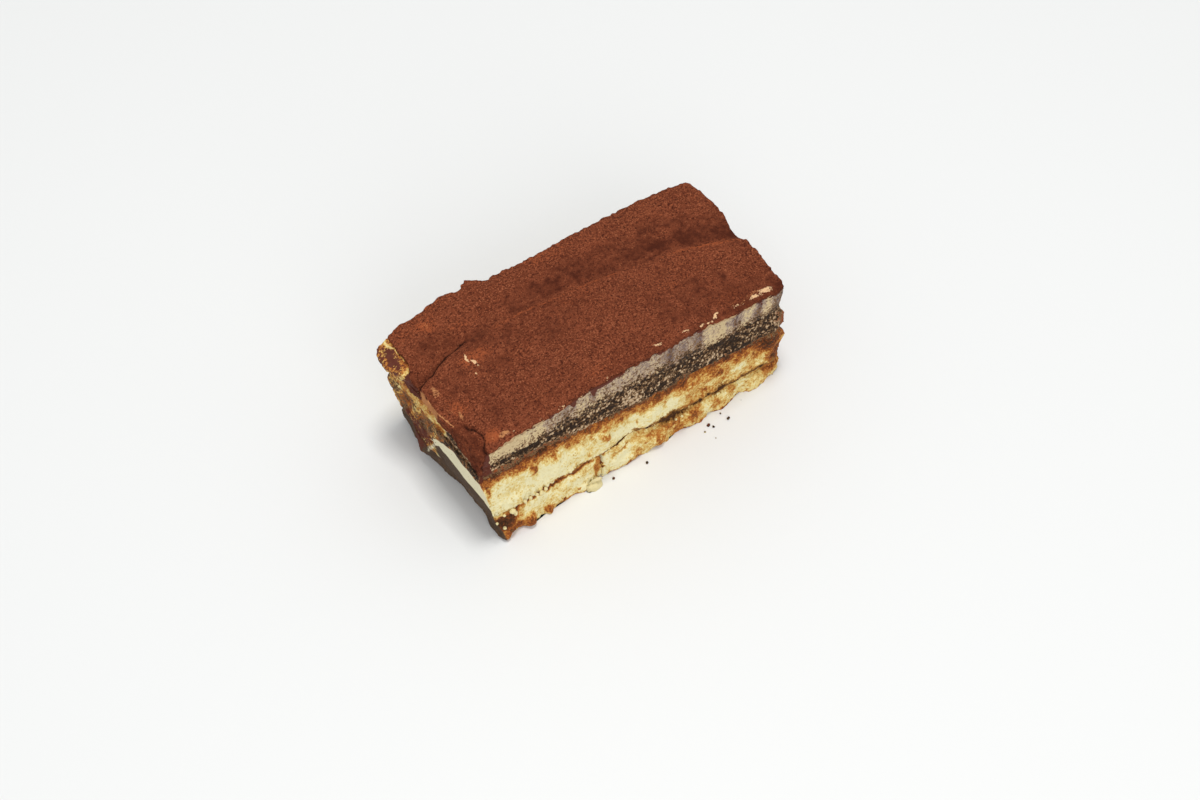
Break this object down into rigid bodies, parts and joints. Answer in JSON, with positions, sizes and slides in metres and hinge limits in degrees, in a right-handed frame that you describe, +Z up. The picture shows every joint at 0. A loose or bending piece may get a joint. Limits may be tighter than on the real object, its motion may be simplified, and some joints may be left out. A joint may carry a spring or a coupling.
{
  "type": "tiramisu slice",
  "caption": "Cut block of tiramisu with ladyfinger sponge, coffee sponge, mascarpone cream and a cocoa-dusted top that folds over its left end.",
  "frame": {"origin": "middle of the base, on the surface that the slice stands on", "axes": "+X along the slice towards its rounded right end, +Y away from the long cut face, +Z up"},
  "size_m": [0.1306, 0.0692, 0.0512],
  "materials": {
    "cocoa_powder": "dry matt powder, reddish brown",
    "mascarpone": "soft matt cream, smeared with cocoa at the cut",
    "coffee_sponge": "damp open crumb, dark brown with pale specks",
    "ladyfinger_sponge": "porous pale yellow crumb, soaked orange brown along its top",
    "soaked_ladyfinger": "damp pale yellow crumb with browned crusts"
  },
  "bodies": {
    "root": {"cocoa_dusting": "cocoa_powder", "mascarpone_cream": "mascarpone", "coffee_sponge": "coffee_sponge", "upper_ladyfinger": "ladyfinger_sponge", "lower_ladyfinger_left": "soaked_ladyfinger", "lower_ladyfinger_right": "soaked_ladyfinger", "pressed_out_cream": "mascarpone"}
  },
  "joints": []
}
